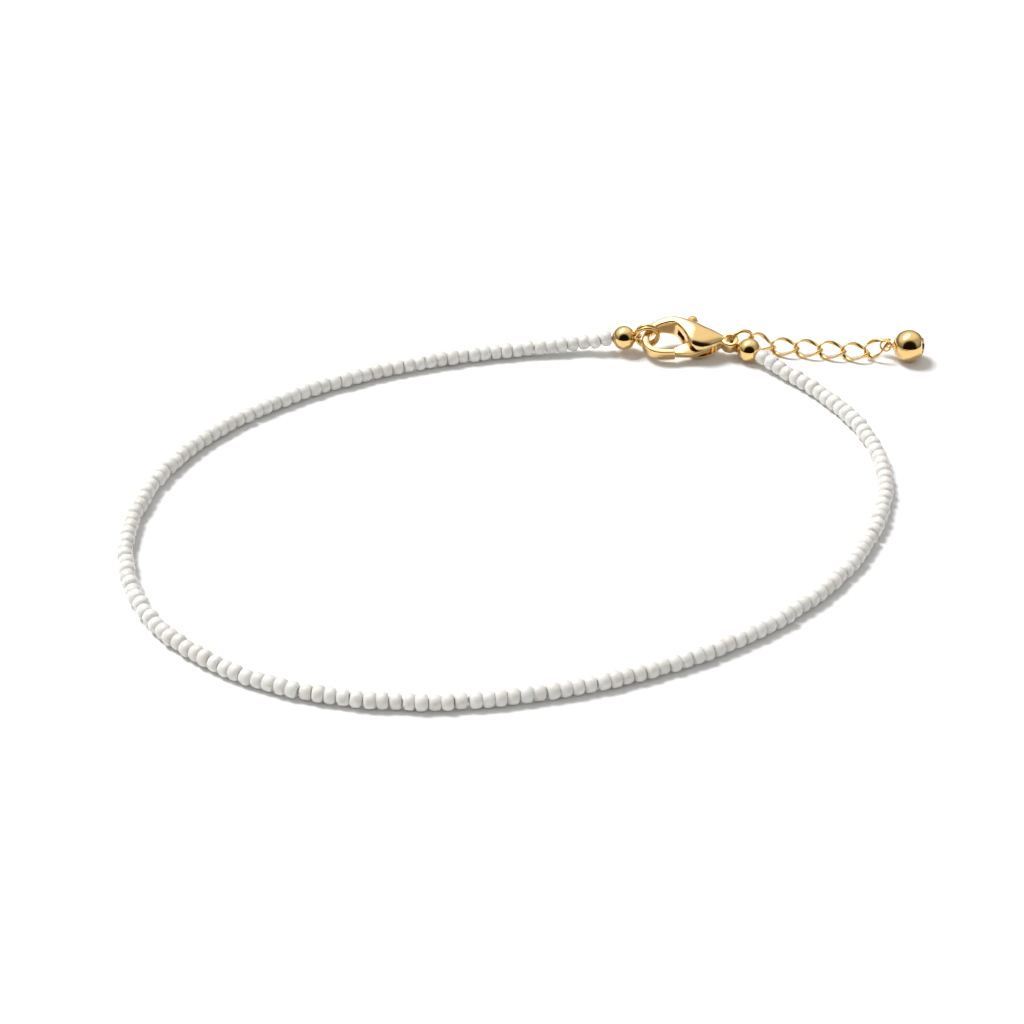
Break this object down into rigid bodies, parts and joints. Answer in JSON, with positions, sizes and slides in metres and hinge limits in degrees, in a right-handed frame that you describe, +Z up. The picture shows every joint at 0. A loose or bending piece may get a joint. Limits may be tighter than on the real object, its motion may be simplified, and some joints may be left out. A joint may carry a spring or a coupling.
{
  "type": "beaded anklet",
  "caption": "Beaded anklet: a closed loop of small opaque white glass beads with a gold-plated lobster clasp and a short extension chain ending in a ball.",
  "frame": {"origin": "the middle of the footprint, on the surface that it lies on", "axes": "X runs along the clasp towards the extension chain, Y from the front of the loop back to the clasp, and Z is up"},
  "size_m": [0.0919, 0.0717, 0.0041],
  "materials": {
    "gold_plate": "polished gold plate",
    "cast_gold_plate": "polished cast gold plate, matte on the knob",
    "white_glass": "opaque white, soft gloss"
  },
  "bodies": {
    "anklet": {"bead_strand": "white_glass", "left_end_ball": "gold_plate", "left_jump_ring": "gold_plate", "clasp_body": "cast_gold_plate", "clasp_pin": "gold_plate", "right_jump_ring": "gold_plate", "right_end_ball": "gold_plate", "chain_link_1": "gold_plate", "chain_link_2": "gold_plate", "chain_link_3": "gold_plate", "chain_link_4": "gold_plate", "chain_link_5": "gold_plate", "chain_link_6": "gold_plate", "chain_end_loop": "gold_plate", "end_ball": "gold_plate", "head_pin": "gold_plate"},
    "lever": {"clasp_lever": "cast_gold_plate"}
  },
  "joints": [
    {"name": "clasp_lever_hinge", "type": "hinge", "parent": "anklet", "child": "lever", "pos_m": [0.0197, 0.03167, 0.00169], "axis": [0, 0.3584, -0.9336], "range_deg": [0, 24], "stiffness_Nm_per_rad": 0.0001, "springref_deg": -28.65}
  ]
}
